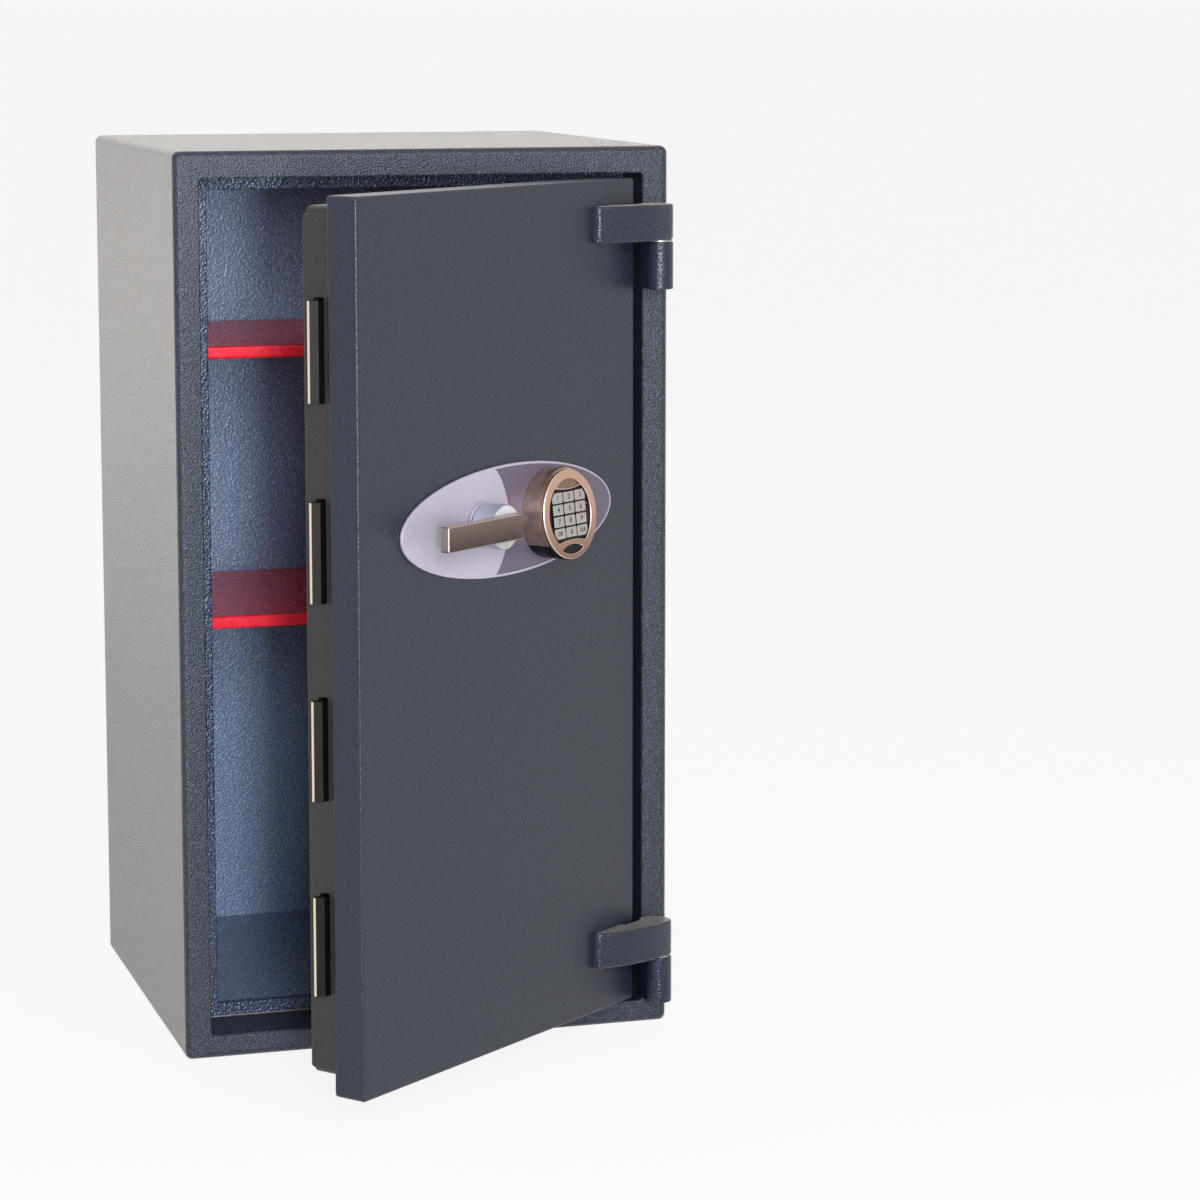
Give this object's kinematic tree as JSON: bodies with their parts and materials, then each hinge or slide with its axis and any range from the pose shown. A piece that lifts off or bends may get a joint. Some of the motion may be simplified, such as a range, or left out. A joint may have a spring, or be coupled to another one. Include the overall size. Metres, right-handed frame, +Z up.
{
  "type": "high-security safe",
  "caption": "Free-standing steel safe with a thick door on outside hinges, standing ajar, with blade bolts, a lever handle and a round keypad on an oval plate, and red shelves inside.",
  "frame": {"origin": "centre of the case's underside, on the floor it stands on", "axes": "+Z up, the case front faces -Y, +X to the hinge side, which is on the right as seen from the front"},
  "size_m": [0.49, 0.728, 0.88],
  "materials": {
    "graphite_paint": "graphite-grey textured powder coat with a fine sparkle",
    "dark_paint": "dark grey satin paint",
    "liner_paint": "blue-grey textured paint",
    "red_paint": "gloss red powder coat",
    "barrier": "cast barrier concrete",
    "zinc_steel": "zinc-plated steel",
    "black_steel": "blackened steel",
    "silver_plate": "satin silver",
    "dark_inlay": "satin dark grey print",
    "lever_steel": "brushed stainless steel, warm grey",
    "satin_chrome": "satin chrome",
    "champagne_metal": "champagne metal with circular brushing",
    "black_plastic": "black, half gloss",
    "key_plastic": "light warm grey, matt"
  },
  "bodies": {
    "case": {"outer_casing": "graphite_paint", "rebate_frame": "graphite_paint", "inner_liner": "liner_paint", "barrier_fill": "barrier", "floor_anchor_plug": "black_plastic", "shelf_lower": "red_paint", "shelf_upper": "red_paint", "shelf_rail_lower_left": "zinc_steel", "shelf_rail_lower_right": "zinc_steel", "shelf_rail_upper_left": "zinc_steel", "shelf_rail_upper_right": "zinc_steel", "hinge_knuckle_lower": "graphite_paint", "hinge_knuckle_upper": "graphite_paint", "hinge_pin_lower": "zinc_steel", "hinge_pin_upper": "zinc_steel", "hinge_washer_lower": "zinc_steel", "hinge_washer_upper": "zinc_steel"},
    "door": {"door_skin": "graphite_paint", "door_barrier_fill": "barrier", "door_back_plate": "dark_paint", "bolt_box": "dark_paint", "bolt_guide": "dark_paint", "rear_cover": "dark_paint", "hinge_side_dogs": "black_steel", "hinge_strap_lower": "graphite_paint", "hinge_strap_upper": "graphite_paint", "escutcheon": "silver_plate", "escutcheon_inlay": "dark_inlay", "handle_rose": "satin_chrome", "lock_case": "zinc_steel", "cover_screw_1": "zinc_steel", "cover_screw_2": "zinc_steel", "cover_screw_3": "zinc_steel", "cover_screw_4": "zinc_steel", "keypad_housing": "champagne_metal", "keypad_face": "champagne_metal", "keypad_mat": "black_plastic", "keypad_lens": "black_plastic"},
    "handle": {"handle_hub": "satin_chrome", "handle_lever": "lever_steel", "handle_spindle": "zinc_steel"},
    "bolt_carriage": {"bolt_carriage": "zinc_steel", "bolt_1": "black_steel", "bolt_2": "black_steel", "bolt_3": "black_steel", "bolt_4": "black_steel"},
    "lock_bolt": {"lock_bolt": "black_steel"},
    "battery_drawer": {"battery_drawer": "black_plastic"},
    "key_1": {"key_1": "key_plastic"},
    "key_2": {"key_2": "key_plastic"},
    "key_3": {"key_3": "key_plastic"},
    "key_4": {"key_4": "key_plastic"},
    "key_5": {"key_5": "key_plastic"},
    "key_6": {"key_6": "key_plastic"},
    "key_7": {"key_7": "key_plastic"},
    "key_8": {"key_8": "key_plastic"},
    "key_9": {"key_9": "key_plastic"},
    "key_left": {"key_left": "key_plastic"},
    "key_0": {"key_0": "key_plastic"},
    "key_right": {"key_right": "key_plastic"}
  },
  "joints": [
    {"name": "door_hinge", "type": "hinge", "parent": "case", "child": "door", "pos_m": [0.2295, -0.246, 0], "axis": [0, 0, 1], "range_deg": [-38, 142]},
    {"name": "handle_turn", "type": "hinge", "parent": "door", "child": "handle", "pos_m": [0.00578, -0.39414, 0.539], "axis": [-0.6157, 0.788, 0], "range_deg": [0, 90]},
    {"name": "bolt_slide", "type": "slide", "parent": "door", "child": "bolt_carriage", "axis": [0.788, 0.6157, 0], "range_m": [0, 0.01414]},
    {"name": "lock_bolt_swing", "type": "hinge", "parent": "door", "child": "lock_bolt", "pos_m": [0.03539, -0.3021, 0.5555], "axis": [-0.6157, 0.788, 0], "range_deg": [-80.01, 0]},
    {"name": "battery_drawer_slide", "type": "slide", "parent": "door", "child": "battery_drawer", "axis": [0, 0, -1], "range_m": [0, 0.036]},
    {"name": "key_1_press", "type": "slide", "parent": "door", "child": "key_1", "axis": [-0.6123, 0.7837, -0.1045], "range_m": [0, 0.0007], "stiffness_N_per_m": 800, "springref_m": -0.0003},
    {"name": "key_2_press", "type": "slide", "parent": "door", "child": "key_2", "axis": [-0.6123, 0.7837, -0.1045], "range_m": [0, 0.0007], "stiffness_N_per_m": 800, "springref_m": -0.0003},
    {"name": "key_3_press", "type": "slide", "parent": "door", "child": "key_3", "axis": [-0.6123, 0.7837, -0.1045], "range_m": [0, 0.0007], "stiffness_N_per_m": 800, "springref_m": -0.0003},
    {"name": "key_4_press", "type": "slide", "parent": "door", "child": "key_4", "axis": [-0.6123, 0.7837, -0.1045], "range_m": [0, 0.0007], "stiffness_N_per_m": 800, "springref_m": -0.0003},
    {"name": "key_5_press", "type": "slide", "parent": "door", "child": "key_5", "axis": [-0.6123, 0.7837, -0.1045], "range_m": [0, 0.0007], "stiffness_N_per_m": 800, "springref_m": -0.0003},
    {"name": "key_6_press", "type": "slide", "parent": "door", "child": "key_6", "axis": [-0.6123, 0.7837, -0.1045], "range_m": [0, 0.0007], "stiffness_N_per_m": 800, "springref_m": -0.0003},
    {"name": "key_7_press", "type": "slide", "parent": "door", "child": "key_7", "axis": [-0.6123, 0.7837, -0.1045], "range_m": [0, 0.0007], "stiffness_N_per_m": 800, "springref_m": -0.0003},
    {"name": "key_8_press", "type": "slide", "parent": "door", "child": "key_8", "axis": [-0.6123, 0.7837, -0.1045], "range_m": [0, 0.0007], "stiffness_N_per_m": 800, "springref_m": -0.0003},
    {"name": "key_9_press", "type": "slide", "parent": "door", "child": "key_9", "axis": [-0.6123, 0.7837, -0.1045], "range_m": [0, 0.0007], "stiffness_N_per_m": 800, "springref_m": -0.0003},
    {"name": "key_left_press", "type": "slide", "parent": "door", "child": "key_left", "axis": [-0.6123, 0.7837, -0.1045], "range_m": [0, 0.0007], "stiffness_N_per_m": 800, "springref_m": -0.0003},
    {"name": "key_0_press", "type": "slide", "parent": "door", "child": "key_0", "axis": [-0.6123, 0.7837, -0.1045], "range_m": [0, 0.0007], "stiffness_N_per_m": 800, "springref_m": -0.0003},
    {"name": "key_right_press", "type": "slide", "parent": "door", "child": "key_right", "axis": [-0.6123, 0.7837, -0.1045], "range_m": [0, 0.0007], "stiffness_N_per_m": 800, "springref_m": -0.0003}
  ],
  "couplings": [
    {"joint": "bolt_slide", "follows": "handle_turn", "m_per_rad": 0.009},
    {"joint": "lock_bolt_swing", "follows": "handle_turn", "ratio": -0.88889}
  ]
}
